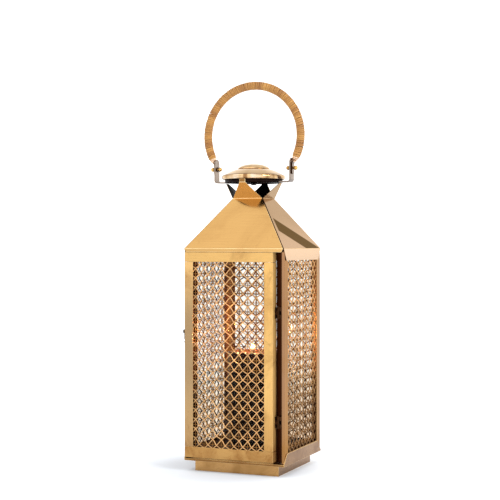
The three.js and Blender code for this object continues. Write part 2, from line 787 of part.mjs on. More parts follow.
// Candle: a plain pillar with a rounded rim and a wick set in its top.
function makeCandle() {
  const bottom = trayTop + gap;
  const top = bottom + candleHeight;
  const profile = [
    [0, bottom],
    [candleRadius - candleRound, bottom],
    [candleRadius, bottom + candleRound],
    [candleRadius, top - candleRound],
    [candleRadius - candleRound, top],
    [candleRadius - 3 * candleRound, top - candleRound / 2],
    [wickRadius + gap, top - candleRound],
    [wickRadius + gap, top - wickSunk],
    [0, top - wickSunk],
  ];
  add("candle", turned(profile, 40), "wax");
  add("wick", bar(wickRadius, 0, 0, ALONG_Z, top - wickSunk + gap, top + wickShown, 8), "wick");
}

makePlinth();
makeTray();
makePosts();
makeRails();
makeFrontRails();
makeRoof();
makeCap();
makeStrap();
makePins();
makeHandle();
makeDoor();
makePanes();
makeHinges();
makeLatch();
makeCandle();

export default lantern;
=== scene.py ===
"""Looks of the hurricane candle lantern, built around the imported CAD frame. Units are metres."""

import json
import math

import bpy
import numpy as np
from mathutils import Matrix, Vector


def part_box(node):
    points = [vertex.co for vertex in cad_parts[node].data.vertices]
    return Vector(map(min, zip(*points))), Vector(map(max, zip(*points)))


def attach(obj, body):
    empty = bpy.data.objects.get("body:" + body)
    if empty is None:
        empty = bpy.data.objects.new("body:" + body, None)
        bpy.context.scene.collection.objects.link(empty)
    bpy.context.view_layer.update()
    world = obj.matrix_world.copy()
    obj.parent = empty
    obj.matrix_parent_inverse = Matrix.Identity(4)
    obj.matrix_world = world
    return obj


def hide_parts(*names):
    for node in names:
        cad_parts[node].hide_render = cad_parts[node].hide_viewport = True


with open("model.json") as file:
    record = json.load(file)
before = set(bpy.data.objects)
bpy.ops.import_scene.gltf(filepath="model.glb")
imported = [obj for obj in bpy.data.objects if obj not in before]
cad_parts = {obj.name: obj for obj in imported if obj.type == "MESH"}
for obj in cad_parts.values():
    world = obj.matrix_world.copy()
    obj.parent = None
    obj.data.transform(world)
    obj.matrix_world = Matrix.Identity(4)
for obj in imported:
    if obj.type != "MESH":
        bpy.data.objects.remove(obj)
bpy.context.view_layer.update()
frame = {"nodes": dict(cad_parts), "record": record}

MM = 0.001
BODIES = frame["record"]["behaviour"]["bodies"]
BODY_OF = {node: body for body, nodes in BODIES.items() for node in nodes}
chance = np.random.default_rng(7)


# -------------------- camera, floor and light

CAMERA_AT = (0.9216, -2.2063, 0.4326)
CAMERA_TURN = 22.67
LENS = 88.92
SENSOR = 36
SHIFT = (-0.0076, -0.0152)


def add_object(name, data):
    item = bpy.data.objects.new(name, data)
    bpy.context.scene.collection.objects.link(item)
    return item


def make_camera():
    """A level camera at the photograph's place and angle."""
    data = bpy.data.cameras.new("camera")
    data.lens = LENS
    data.sensor_width = SENSOR
    data.shift_x, data.shift_y = SHIFT
    data.clip_end = 100
    camera = add_object("camera", data)
    camera.location = CAMERA_AT
    camera.rotation_euler = (math.radians(90), 0, math.radians(CAMERA_TURN))
    bpy.context.scene.camera = camera


class Tree:
    """A small helper that adds shader nodes and links them."""

    def __init__(self, owner):
        owner.use_nodes = True
        self.tree = owner.node_tree
        self.tree.nodes.clear()

    def add(self, kind, props=None, **inputs):
        node = self.tree.nodes.new("ShaderNode" + kind)
        for key, value in (props or {}).items():
            setattr(node, key, value)
        for key, value in inputs.items():
            self.put(node, int(key[1:]) if key[1:].isdigit() else key.replace("_", " "), value)
        return node

    def put(self, node, key, value):
        if isinstance(value, bpy.types.NodeSocket):
            self.tree.links.new(value, node.inputs[key])
        else:
            node.inputs[key].default_value = value

    def math(self, operation, a, b=0.0, c=0.0):
        return self.add("Math", {"operation": operation}, _0=a, _1=b, _2=c).outputs[0]

    def vector(self, operation, a, b=(0.0, 0.0, 0.0), result="Vector"):
        return self.add("VectorMath", {"operation": operation}, _0=a, _1=b).outputs[result]

    def ramp(self, value, low, high, to_low=0.0, to_high=1.0):
        """A smooth step between to_low at low and to_high at high, where low may be above high."""
        node = self.add("MapRange", {"interpolation_type": "SMOOTHSTEP"}, Value=value)
        numbers = (low, high, to_low, to_high)
        for key, number in zip(("From Min", "From Max", "To Min", "To Max"), numbers):
            node.inputs[key].default_value = number
        return node.outputs[0]

    def mix(self, factor, a, b):
        node = self.add("Mix", {"data_type": "RGBA"}, Factor=factor)
        self.put(node, 6, a)
        self.put(node, 7, b)
        return node.outputs[2]

    def noise(self, vector, scale, detail=4.0, roughness=0.55, distortion=0.0):
        node = self.add("TexNoise", Vector=vector, Scale=scale, Detail=detail,
                        Roughness=roughness, Distortion=distortion)
        return node.outputs[0]

    def stretched(self, vector, scale):
        return self.add("Mapping", Vector=vector, Scale=scale).outputs[0]

    def split(self, vector):
        """The X, Y and Z of a vector."""
        return self.add("SeparateXYZ", Vector=vector).outputs

    def normal(self):
        """The X, Y and Z of the surface's normal, in the object's own frame."""
        return self.split(self.add("TexCoord").outputs["Normal"])


def linear(red, green, blue):
    """A linear colour from display values of 0 to 255."""
    shares = (value / 255 for value in (red, green, blue))
    return (*(s / 12.92 if s <= 0.04045 else ((s + 0.055) / 1.055) ** 2.4 for s in shares), 1.0)


SOFT_BOX_WAY = (-0.385, -0.288, 0.878)
BRIGHT_SIDE_WAY = (0.91, -0.415, 0.0)
FRONT_WAY, BACK_WAY = (0.0, -1.0, 0.0), (0.0, 1.0, 0.0)


def make_world():
    """A white studio whose brightness depends on direction, with a soft box overhead."""
    world = bpy.data.worlds.new("studio")
    bpy.context.scene.world = world
    t = Tree(world)
    way = t.add("TexCoord").outputs["Generated"]
    height = t.split(way)[2]

    def toward(direction):
        return t.vector("DOT_PRODUCT", way, tuple(Vector(direction).normalized()), "Value")

    horizon = t.ramp(height, 0.02, 0.30, 1.45, 1.1)
    level = t.math("MULTIPLY", horizon, t.ramp(height, 0.35, 0.85, 1.0, 0.7))
    top_box = t.ramp(toward(SOFT_BOX_WAY), 0.80, 0.92, 0.0, 0.85)
    right_part = t.ramp(toward(BRIGHT_SIDE_WAY), -0.05, 0.04, 0.92, 1.35)
    ahead = t.ramp(toward(FRONT_WAY), 0.4, 0.7)
    sided = t.math("MULTIPLY_ADD", t.math("SUBTRACT", right_part, 1.0), ahead, 1.0)
    behind = t.ramp(toward(BACK_WAY), 0.2, 0.8, 1.0, 1.2)
    total = t.math("MULTIPLY_ADD", t.math("MULTIPLY", level, behind), sided, top_box)
    sky = t.add("Background", Color=(1.0, 0.985, 0.965, 1.0), Strength=total)
    t.add("OutputWorld", Surface=sky.outputs[0])


def area_light(name, at, towards, size, watts):
    """A slightly warm soft light that the camera doesn't see."""
    data = bpy.data.lights.new(name, "AREA")
    data.shape = "RECTANGLE"
    data.size, data.size_y = size
    data.energy = watts
    data.color = (1.0, 0.98, 0.95)
    lamp = add_object(name, data)
    lamp.location = at
    lamp.rotation_euler = (Vector(towards) - Vector(at)).to_track_quat("-Z", "Y").to_euler()
    lamp.visible_camera = False


FLOOR_HALF = 30.0
GLOW_FROM = (0.045, 0.06, 0.0)  # added to a place: the glow's centre is in front, to the left
GLOW_START, GLOW_END, GLOW = 0.09, 0.24, 0.32


def make_floor():
    """A pale floor that glows a little away from the lantern: painted light that keeps its shadow
    close round the lantern.
    """
    half = FLOOR_HALF
    mesh = bpy.data.meshes.new("floor")
    corners = [(-half, -half, 0), (half, -half, 0), (half, half, 0), (-half, half, 0)]
    mesh.from_pydata(corners, [], [(0, 1, 2, 3)])
    floor = add_object("floor", mesh)
    material, t, place = new_material("floor_paper")
    tone = t.mix(t.noise(place, 3.0), linear(228, 235, 244), linear(225, 232, 241))
    paint = t.add("BsdfPrincipled", Base_Color=tone, Roughness=0.9)
    t.put(paint, "Specular IOR Level", 0.1)
    t.put(paint, "Emission Color", (1.0, 1.0, 1.0, 1.0))
    # Painted light: the floor's emission grows with the distance from a point in front of the
    # lantern, to the left.
    reach = t.vector("LENGTH", t.vector("ADD", place, GLOW_FROM), result="Value")
    t.put(paint, "Emission Strength", t.ramp(reach, GLOW_START, GLOW_END, 0.0, GLOW))
    t.add("OutputMaterial", Surface=paint.outputs[0])
    mesh.materials.append(material)


# -------------------- materials

FRONT_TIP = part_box("roof_panel_front")[1].z
SKIRT_TOP = 420.8 * MM

# Two heights each, between which a look changes.
# Painted shade on the inner faces: from brown to near black between these heights.
ROOF_INSIDE_SHADE = (412 * MM, 424 * MM)
# Painted shade: all brass darkens towards its foot between these heights.
BRASS_FOOT_SHADE = (180 * MM, 30 * MM)
# Painted shade: the wall cane darkens low down between these heights.
CANE_FOOT_SHADE = (240 * MM, 100 * MM)
GLASS_FILM = (250 * MM, 80 * MM)
# Painted shade down the latch-side stile of the door.
STILE_SHADE_TOP, STILE_SHADE_FOOT = (400 * MM, 280 * MM), (40 * MM, 200 * MM)
# Painted light: the right roof panel's lower slope and its skirt are paler beyond these heights.
SLOPE_PALER = (490 * MM, 425 * MM)
SKIRT_EDGE = (SKIRT_TOP + 0.4 * MM, SKIRT_TOP - 0.2 * MM)
# Painted shade: the tab at the tip of the front roof panel is darker above these heights.
FRONT_TAB = (FRONT_TIP - 8 * MM, FRONT_TIP - 7 * MM)

# The painted reflection on the right roof panel, a dark band: its two long sides lean, and so does
# its end.
REFLECTION_BAND_LEAN = 0.4
REFLECTION_BAND_LOWER, REFLECTION_BAND_UPPER = (428 * MM, 430 * MM), (460 * MM, 458 * MM)
REFLECTION_BAND_END, REFLECTION_BAND_END_LEAN, REFLECTION_BAND_END_HEIGHT = (-52 * MM, -48 * MM), -0.583, 478 * MM

PETAL_BEND = 0.722  # the share of the front roof panel's height that lies below the bend


def new_material(name):
    """A material, its node tree, and the place on the piece in the lantern's frame."""
    material = bpy.data.materials.new(name)
    t = Tree(material)
    return material, t, t.add("TexCoord").outputs["Object"]


def finished(t, surface, height, strength=0.1, distance=0.0002):
    """Adds the bump and the output to the node tree."""
    bump = t.add("Bump", Strength=strength, Distance=distance, Height=height)
    t.put(surface, "Normal", bump.outputs[0])
    t.add("OutputMaterial", Surface=surface.outputs[0])


def inside_shade_mask(t, place):
    """1 on faces that look towards the lantern's axis, where shade is painted, and 0 on the outer
    ones.
    """
    outward = t.vector("NORMALIZE", t.stretched(place, (1.0, 1.0, 0.0)))
    facing = t.vector("DOT_PRODUCT", t.add("TexCoord").outputs["Normal"], outward, "Value")
    return t.ramp(facing, -0.1, -0.35)


def groove_shade_mask(t, place):
    """1 on front faces in the post's hinge groove, falling to 0 near the post's outer edge:
    painted shade in the groove.
    """
    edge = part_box("front_post_right")[1].x
    depth = t.ramp(t.split(place)[0], edge - 8.5 * MM, edge - 4 * MM, 1.0, 0.0)
    return t.math("MULTIPLY", t.ramp(t.normal()[1], -0.3, -0.7), depth)


def return_mask(t, place):
    """Rises towards the back of the door's hinge edge, which stands in the groove's shade."""
    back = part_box("door_stile_right")[1].y
    shade = t.ramp(t.split(place)[1], back - 4 * MM, back - 1 * MM, 0.02, 0.85)
    return t.math("MULTIPLY", right_shade_mask(t, place), shade)


def petal_light_mask(t, place):
    """1 on the front roof panel's petal, above its bend, falling to nothing on its tip's tab:
    where light is painted.
    """
    lo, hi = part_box("roof_panel_front")
    bend = lo.z + (hi.z - lo.z) * PETAL_BEND
    height = t.split(place)[2]
    petal = t.ramp(height, bend - 0.5 * MM, bend + 0.5 * MM)
    tab = t.ramp(height, hi.z - 8 * MM, hi.z - 6.5 * MM, 1.0, -0.35)
    return t.math("MULTIPLY", petal, tab)


def reflection_band_mask(t, place):
    """One broad oblique dark band across the slope of the right roof panel: a painted reflection.
    """
    _, along, height = t.split(place)
    slanted = t.math("MULTIPLY_ADD", along, REFLECTION_BAND_LEAN, height)
    above = t.math("SUBTRACT", height, REFLECTION_BAND_END_HEIGHT)
    edge = t.math("MULTIPLY_ADD", above, REFLECTION_BAND_END_LEAN, along)
    across = t.math("MULTIPLY", t.ramp(slanted, *REFLECTION_BAND_LOWER), t.ramp(slanted, *REFLECTION_BAND_UPPER))
    slope = t.ramp(height, SKIRT_TOP, SKIRT_TOP + 0.8 * MM)
    within = t.ramp(edge, *REFLECTION_BAND_END, 0.0, 0.9)
    return t.math("MULTIPLY", t.math("MULTIPLY", across, slope), within)


def right_shade_mask(t, place):
    """1 on faces that look to the right, wherever they are: where shade is painted."""
    return t.ramp(t.normal()[0], 0.4, 0.8)


def stile_shade_mask(t, place):
    """Painted shade on the latch-side stile: rises from its top to its middle, and falls by half
    to its foot.
    """
    height = t.split(place)[2]
    falling = t.ramp(height, *STILE_SHADE_TOP, 0.0, 0.85)
    return t.math("MULTIPLY", falling, t.ramp(height, *STILE_SHADE_FOOT, 0.5, 1.0))


def brass(name, tone, aged, grain, rough=(0.13, 0.27), brush=0.12, clouding=1.0, rim=None,
          shade=None, shaded=None, shaded_rim=None, matt=0.0, zones=()):
    """Satin sheet brass: brushed one way, with patina clouds, smudges, and painted shade low down
    and inside.

    grain is the noise scale along X, Y and Z: low along the brush lines. rim tints the gloss at
    grazing angles. shade is a mask of painted light and shade; where it rises, the colour turns to
    shaded, rim to shaded_rim, and the surface loses matt of its metal look. Each zone, painted
    light and shade by height, is two heights and a colour: the colour is full beyond the second
    height.
    """
    material, t, place = new_material(name)
    clouds = t.noise(place, 11.0, 6.0, 0.62, 0.7)
    smudge = t.noise(place, 46.0, 5.0, 0.6, 1.2)
    lines = t.noise(t.stretched(place, grain), 1.0, 3.0, 0.6)
    height = t.split(place)[2]
    age_and_foot_shade = t.math("ADD", t.ramp(clouds, 0.44, 0.72, 0.0, 0.55 * clouding),
                 t.ramp(smudge, 0.56, 0.74, 0.0, 0.4 * clouding))
    # Painted shade: darker towards the foot, for the darker reflections near the floor.
    age_and_foot_shade = t.math("ADD", age_and_foot_shade, t.ramp(height, *BRASS_FOOT_SHADE, 0.0, 0.55))
    colour = t.mix(age_and_foot_shade, tone, aged)
    colour = t.mix(t.ramp(lines, 0.25, 0.8, 0.0, 0.22), colour, aged)
    # The zones paint light and shade by height.
    for heights, other in zones:
        colour = t.mix(t.ramp(height, *heights), colour, other)
    # Painted light and shade where the shade mask rises.
    mask = shade(t, place) if shade else None
    if shade:
        colour = t.mix(mask, colour, shaded)
    # Painted shade on the faces that look inwards: brown low down, near black under the roof.
    inside = inside_shade_mask(t, place)
    low_inside_shade = t.mix(smudge, linear(150, 104, 72), linear(92, 58, 40))
    high_inside_shade = t.mix(smudge, linear(46, 36, 30), linear(18, 13, 12))
    colour = t.mix(inside, colour, t.mix(t.ramp(height, *ROOF_INSIDE_SHADE), low_inside_shade, high_inside_shade))
    gloss = t.math("ADD", t.ramp(clouds, 0.3, 0.8, *rough), t.ramp(lines, 0.2, 0.8, 0.0, 0.07))
    gloss = t.math("MULTIPLY_ADD", inside, 0.25, gloss)
    metal = t.add("BsdfPrincipled", Base_Color=colour, Metallic=1.0, Roughness=gloss)
    if rim:
        t.put(metal, "Specular Tint", t.mix(mask, rim, shaded_rim) if shaded_rim else rim)
    if matt:
        t.put(metal, "Metallic", t.math("MULTIPLY_ADD", t.ramp(mask, 0.0, 0.02), -matt, 1.0))
    waves = t.math("ADD", t.math("MULTIPLY", t.noise(place, 9.0, 1.0), 5.0), lines)
    finished(t, metal, waves, brush)
    return material


def plain_metal(name, tone, aged, rough, scale=260.0, front=None):
    """Turned or plated metal with fine specks and a soft tarnish, and maybe painted shade on faces
    that look to the front.
    """
    material, t, place = new_material(name)
    specks = t.noise(place, scale, 6.0, 0.7)
    clouds = t.noise(place, scale / 9, 4.0, 0.55, 0.5)
    colour = t.mix(t.ramp(clouds, 0.4, 0.7, 0.0, 0.8), tone, aged)
    colour = t.mix(t.ramp(specks, 0.5, 0.8, 0.0, 0.35), colour, aged)
    # Painted shade on the faces that look to the front.
    if front:
        colour = t.mix(t.ramp(t.normal()[1], -0.25, -0.5), colour, front)
    metal = t.add("BsdfPrincipled", Base_Color=colour, Metallic=1.0,
                  Roughness=t.ramp(specks, 0.2, 0.8, rough * 0.75, rough * 1.35))
    finished(t, metal, specks, 0.08)
    return material


def cane(name, outer, side, inner, low=0.0):
    """Gilt cane: pale on its outer face, with painted shade on its sides and inner faces, and low
    down by low.
    """
    material, t, place = new_material(name)
    x, y, height = t.split(place)
    normal = t.normal()
    outward = [t.math("MULTIPLY", t.math("SIGN", at), out) for at, out in zip((x, y), normal)]
    on_side = t.math("GREATER_THAN", t.math("ABSOLUTE", x), t.math("ABSOLUTE", y))
    facing = t.add("Mix", {"data_type": "FLOAT"}, Factor=on_side, _2=outward[1], _3=outward[0])
    facing = facing.outputs[0]
    grain = t.noise(place, 420.0, 5.0, 0.7)
    stain = t.noise(place, 34.0, 4.0, 0.6, 0.5)
    # Painted shade: darker on the sides and inner faces, and towards the foot by low.
    colour = t.mix(t.ramp(facing, -0.15, 0.75), side, outer)
    colour = t.mix(t.ramp(facing, 0.1, -0.5), colour, inner)
    colour = t.mix(t.ramp(stain, 0.42, 0.72, 0.0, 0.55), colour, side)
    colour = t.mix(t.ramp(grain, 0.5, 0.8, 0.0, 0.3), colour, side)
    colour = t.mix(t.ramp(height, *CANE_FOOT_SHADE, 0.0, low), colour, side)
    gilt = t.add("BsdfPrincipled", Base_Color=colour, Roughness=t.ramp(grain, 0.2, 0.8, 0.24, 0.4))
    t.put(gilt, "Metallic", t.ramp(facing, -0.3, 0.4, 0.25, 0.8))
    t.put(gilt, "Specular IOR Level", 0.12)
    t.put(gilt, "Specular Tint", WARM_RIM)
    finished(t, gilt, grain, 0.1)
    return material


def turned_brass(name, tone, aged):
    """Spun brass: fine rings round the Z axis, with painted reflections as dark and pale streaks
    on its rim.
    """
    material, t, place = new_material(name)
    flat = t.stretched(place, (1.0, 1.0, 0.0))
    radius = t.vector("LENGTH", flat, result="Value")
    rings = t.noise(t.add("CombineXYZ", X=radius).outputs[0], 900.0, 3.0)
    way = t.vector("NORMALIZE", flat)
    clouds = t.noise(place, 26.0, 5.0, 0.6, 0.8)
    reflection_streaks = t.noise(way, 1.9, 2.0, 0.55)
    colour = t.mix(t.ramp(clouds, 0.42, 0.72, 0.0, 0.5), tone, aged)
    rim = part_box("cap_dome")[1].x
    on_rim = t.ramp(radius, rim * 0.93, rim * 0.98, 0.12, 1.0)
    # Painted reflections: dark and pale streaks, strongest on the rim.
    dark_reflection = t.math("MULTIPLY", t.ramp(reflection_streaks, 0.5, 0.62, 0.0, 0.85), on_rim)
    colour = t.mix(dark_reflection, colour, linear(118, 76, 36))
    pale_reflection = t.math("MULTIPLY", t.ramp(reflection_streaks, 0.46, 0.34, 0.0, 0.85), on_rim)
    colour = t.mix(pale_reflection, colour, linear(240, 222, 200))
    # Painted shade: a dark line where the profile bends near the rim.
    bend = t.math("MULTIPLY", t.ramp(radius, rim * 0.89, rim * 0.94),
                  t.ramp(radius, rim * 0.985, rim * 0.955))
    colour = t.mix(t.math("MULTIPLY", bend, 0.6), colour, linear(110, 72, 40))
    colour = t.mix(t.ramp(rings, 0.45, 0.8, 0.0, 0.25), colour, aged)
    metal = t.add("BsdfPrincipled", Base_Color=colour, Metallic=1.0,
                  Roughness=t.ramp(rings, 0.2, 0.8, 0.08, 0.15))
    finished(t, metal, rings, 0.1)
    return material


def rattan(name, pale, deep, dark):
    """Split cane: a tone for each winding, with fibres, clouds and dark specks."""
    material, t, place = new_material(name)
    turn = t.add("Attribute", {"attribute_name": "turn"}).outputs["Fac"]
    patch = t.noise(t.add("CombineXYZ", X=turn).outputs[0], 0.23, 1.0)
    own = t.noise(t.add("CombineXYZ", X=t.math("FLOOR", turn)).outputs[0], 7.31, 0.0)
    fibres = t.noise(place, 420.0, 5.0, 0.65, 0.4)
    clouds = t.noise(place, 60.0, 4.0, 0.6, 0.5)
    colour = t.mix(t.ramp(patch, 0.35, 0.65), pale, deep)
    colour = t.mix(t.ramp(own, 0.55, 0.75, 0.0, 0.5), colour, deep)
    colour = t.mix(t.ramp(clouds, 0.5, 0.75, 0.0, 0.5), colour, deep)
    colour = t.mix(t.ramp(fibres, 0.5, 0.85, 0.0, 0.35), colour, dark)
    specks = t.noise(place, 95.0, 1.0)
    colour = t.mix(t.ramp(specks, 0.72, 0.78, 0.0, 0.9), colour, dark)
    fibre = t.add("BsdfPrincipled", Base_Color=colour,
                  Roughness=t.ramp(fibres, 0.2, 0.8, 0.38, 0.6))
    t.put(fibre, "Coat Weight", 0.08)
    t.put(fibre, "Coat Roughness", 0.3)
    finished(t, fibre, fibres, 0.25)
    return material


def wax(name, body, glow):
    """Dark dyed wax, slightly translucent, with mottling, and painted light under its top for the
    flame's glow.
    """
    material, t, place = new_material(name)
    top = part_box("candle")[1].z
    mottle = t.noise(place, 70.0, 5.0, 0.6, 0.5)
    lit = t.ramp(t.split(place)[2], top - 35 * MM, top, 0.0, 0.85)
    colour = t.mix(lit, body, glow)
    colour = t.mix(t.ramp(mottle, 0.4, 0.75, 0.0, 0.5), colour, linear(24, 14, 8))
    surface = t.add("BsdfPrincipled", Base_Color=colour,
                    Roughness=t.ramp(mottle, 0.2, 0.8, 0.3, 0.5))
    t.put(surface, "Specular IOR Level", 0.05)
    t.put(surface, "Subsurface Weight", 0.1)
    t.put(surface, "Subsurface Radius", (0.012, 0.004, 0.002))
    t.put(surface, "Subsurface Scale", 1.0)
    finished(t, surface, mottle, 0.25, 0.0006)
    return material


def glass(name, film_tone):
    """A thin pane: clear with a faint haze, and a tan film low down that darkens what shows
    through.
    """
    material, t, place = new_material(name)
    haze = t.noise(place, 24.0, 5.0, 0.6, 0.5)
    clean = t.mix(haze, linear(252, 252, 250), linear(246, 245, 241))
    film = t.ramp(t.split(place)[2], *GLASS_FILM)
    clear = t.add("BsdfTransparent", Color=t.mix(film, clean, film_tone))
    gloss = t.add("BsdfGlossy", Color=(1.0, 1.0, 1.0, 1.0),
                  Roughness=t.ramp(haze, 0.3, 0.8, 0.02, 0.09))
    away = t.add("LayerWeight", Blend=0.5).outputs["Facing"]  # the same on both faces of the pane
    mirror = t.math("MULTIPLY_ADD", t.math("POWER", away, 4.0), 0.12, 0.004)
    both = t.add("MixShader", _0=mirror, _1=clear.outputs[0], _2=gloss.outputs[0])
    t.add("OutputMaterial", Surface=both.outputs[0])
    return material


def flame(name, bottom, top):
    """A candle flame: bluish at the wick, then orange, nearly white and amber."""
    material, t, place = new_material(name)
    share = t.ramp(t.split(place)[2], bottom, top)
    ramp = t.add("ValToRGB", Fac=share)
    stops = ((0.0, linear(70, 60, 120)), (0.18, linear(255, 150, 50)),
             (0.5, linear(255, 225, 150)), (1.0, linear(255, 170, 60)))
    for _ in range(len(stops) - 2):
        ramp.color_ramp.elements.new(0.5)
    for element, (position, colour) in zip(ramp.color_ramp.elements, stops):
        element.position, element.color = position, colour
    strength = t.ramp(share, 0.0, 0.3, 1.0, 14.0)
    light = t.add("Emission", Color=ramp.outputs[0], Strength=strength)
    t.add("OutputMaterial", Surface=light.outputs[0])
    return material


WARM_RIM = (0.9, 0.72, 0.55, 1.0)
BRASS, AGED = linear(196, 156, 97), linear(150, 106, 58)
EDGE, EDGE_AGED = linear(226, 188, 126), linear(186, 142, 86)
RETURN_SHADE = linear(50, 26, 12)
CANE_INNER_SHADE = linear(84, 48, 28)
FINE, LONG = 1400.0, 18.0  # noise scales across and along the brush lines
UPRIGHT, ACROSS = (FINE, FINE, LONG), (LONG, FINE, FINE)
DEEP, LEVEL = (FINE, LONG, FINE), (LONG, LONG, FINE)
made = {
    "upright": brass("brass_upright", BRASS, AGED, UPRIGHT),
    "across": brass("brass_across", BRASS, AGED, ACROSS),
    "deep": brass("brass_deep", BRASS, AGED, DEEP),
    # Painted light and shade: a lighter copy of the brass for the latch-side stile, with painted
    # shade down its length.
    "door_left": brass("brass_door_left", linear(222, 180, 118), AGED, UPRIGHT,
                       shade=stile_shade_mask, shaded=linear(150, 124, 92)),
    # Painted light and shade: a lighter copy of the brass for the hinge-side stile, with the
    # groove's shade on its hinge edge.
    "return": brass("brass_return", linear(224, 178, 108), AGED, UPRIGHT,
                    shade=return_mask, shaded=RETURN_SHADE, matt=0.85),
    # Painted shade: a darker copy of the brass for the right-hand front post, with painted shade
    # in its hinge groove.
    "groove": brass("brass_groove", linear(158, 119, 87), AGED, UPRIGHT, rim=WARM_RIM,
                    shade=groove_shade_mask, shaded=linear(52, 26, 12)),
    # Painted shade: darker copies of the brass for the right-hand rear post and rails.
    "side": brass("brass_side", linear(172, 142, 118), linear(140, 108, 84), UPRIGHT,
                  rim=WARM_RIM),
    "side_rail": brass("brass_side_rail", linear(166, 128, 92), linear(132, 92, 60), DEEP,
                       rim=WARM_RIM),
    # Painted light and shade: a lighter copy of the brass for the door's rails, with the groove's
    # shade on their hinge ends.
    "door": brass("brass_door", linear(212, 170, 105), AGED, ACROSS,
                  shade=return_mask, shaded=RETURN_SHADE, matt=0.85),
    # Painted light and shade: the front roof panel's petal is painted lighter above its bend, and
    # the tab at its tip darker.
    "roof_front": brass("brass_roof_front", BRASS, AGED, ACROSS, rough=(0.06, 0.13), brush=0.06,
                        clouding=0.45, shade=petal_light_mask, shaded=linear(234, 190, 122),
                        zones=((FRONT_TAB, linear(128, 92, 50)),)),
    # Painted light and shade: a darker copy of the brass for the right roof panel, a painted
    # reflection as a dark band across its slope, and its lower slope and skirt painted paler.
    "roof_right": brass("brass_roof_right", linear(173, 142, 110), linear(160, 128, 94), DEEP,
                        rough=(0.1, 0.18), brush=0.06, clouding=0.5,
                        rim=(0.84, 0.76, 0.66, 1.0), shade=reflection_band_mask,
                        shaded=linear(94, 64, 30), shaded_rim=(0.5, 0.48, 0.42, 1.0),
                        zones=((SLOPE_PALER, linear(196, 163, 133)),
                               (SKIRT_EDGE, linear(214, 184, 156)))),
    "shaded": plain_metal("brass_shaded", linear(70, 44, 26), linear(34, 20, 12), 0.4),
    # Painted shade: a darker copy of the brass for the tray, for the darker reflections near the
    # floor.
    "base": brass("brass_base", linear(166, 126, 78), linear(122, 84, 46), LEVEL,
                  rough=(0.2, 0.34)),
    # Painted light and shade: a lighter copy of the brass for the plinth, with painted shade on
    # its faces that look to the right.
    "plinth": brass("brass_plinth", linear(220, 173, 113), linear(158, 118, 70), LEVEL,
                    rough=(0.2, 0.34), shade=right_shade_mask, shaded=linear(142, 107, 73)),
    # Painted highlights: lighter copies of the brass for the rounded edges; the slit edges are
    # also painted dark where they face the front, as shade in the slits.
    "edge": plain_metal("brass_edge", EDGE, EDGE_AGED, 0.22),
    "slit_edge": plain_metal("brass_slit_edge", EDGE, EDGE_AGED, 0.22, front=linear(20, 12, 8)),
    "pale_edge": plain_metal("brass_pale_edge", linear(248, 222, 172), linear(206, 164, 110),
                             0.2),
    "spun": turned_brass("brass_spun", linear(222, 188, 140), linear(178, 136, 90)),
    "ball": plain_metal("brass_ball", linear(205, 165, 95), linear(150, 105, 50), 0.16),
    # Painted shade: near black for the drum, the bolt and the nut under the dome, and the strap
    # where it lies in the drum.
    "dark": plain_metal("brass_in_shade", linear(34, 22, 19), linear(14, 9, 8), 0.55),
    # Painted shade: the cane is darker on its sides and inner faces, the wall cane also low down,
    # and the under strands throughout.
    "cane": cane("cane_gilt", linear(226, 176, 118), linear(80, 46, 26), CANE_INNER_SHADE),
    "cane_wall": cane("cane_gilt_wall", linear(218, 170, 116), linear(72, 42, 24), CANE_INNER_SHADE,
                      low=0.72),
    "cane_under": cane("cane_under_shaded", linear(156, 110, 62), linear(54, 30, 16),
                       linear(52, 30, 18)),
    "nickel": plain_metal("nickel_satin", linear(140, 125, 112), linear(110, 96, 86), 0.24),
    "ferrule": plain_metal("ferrule_bright", linear(236, 204, 172), linear(150, 104, 70), 0.14,
                           scale=600.0),
    "latch": plain_metal("latch_bronze", linear(96, 82, 70), linear(50, 42, 36), 0.3),
    "rattan": rattan("rattan_split", linear(181, 130, 60), linear(148, 97, 37),
                     linear(92, 54, 20)),
    "wax": wax("wax_brown", linear(26, 17, 13), linear(58, 27, 14)),
    "glass": glass("glass_pane", linear(246, 240, 232)),
    "glass_right": glass("glass_pane_right", linear(240, 230, 218)),
}


def dress(node, *materials):
    """Gives a CAD node's material slots these materials."""
    piece = frame["nodes"][node]
    while len(piece.material_slots) < len(materials):
        piece.data.materials.append(None)
    for slot, material in zip(piece.material_slots, materials):
        slot.material = made[material]
    for slot in piece.material_slots[len(materials):]:
        slot.material = made[materials[0]]


def soften(piece, width, segments=3, angle=30):
    """Rounds the edges that turn by more than that angle in degrees."""
    bevel = piece.modifiers.new("bevel", "BEVEL")
    bevel.width = width
    bevel.segments = segments
    bevel.limit_method = "ANGLE"
    bevel.angle_limit = math.radians(angle)
    bevel.harden_normals = True
    return bevel


def sheet_edges(node, width, material, segments=3, edge="edge"):
    """Rounds a CAD node's folds and cut edges by modifiers alone, and gives the rounds the edge
    material.
    """
    piece = frame["nodes"][node]
    dress(node, material, edge)
    weld = piece.modifiers.new("weld", "WELD")
    weld.merge_threshold = 1e-6
    flat = piece.modifiers.new("flat", "DECIMATE")
    flat.decimate_type = "DISSOLVE"
    flat.angle_limit = math.radians(0.5)
    soften(piece, width, segments, angle=28).material = 1


# -------------------- mesh building


def new_piece(name, vertices, faces, material, body, slot, replaced=(), extra=None):
    """One smooth mesh piece. extra is the name and the values of a number on each vertex."""
    mesh = bpy.data.meshes.new(name)
    mesh.from_pydata([tuple(v) for v in vertices], [],
                     [tuple(int(i) for i in face) for face in faces])
    mesh.materials.append(made[material])
    mesh.shade_smooth()
    if extra is not None:
        attribute = mesh.attributes.new(extra[0], "FLOAT", "POINT")
        attribute.data.foreach_set("value", np.asarray(extra[1], np.float32))
    piece = add_object(name, mesh)
    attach(piece, body)
    if replaced:
        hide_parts(*replaced)
    return piece


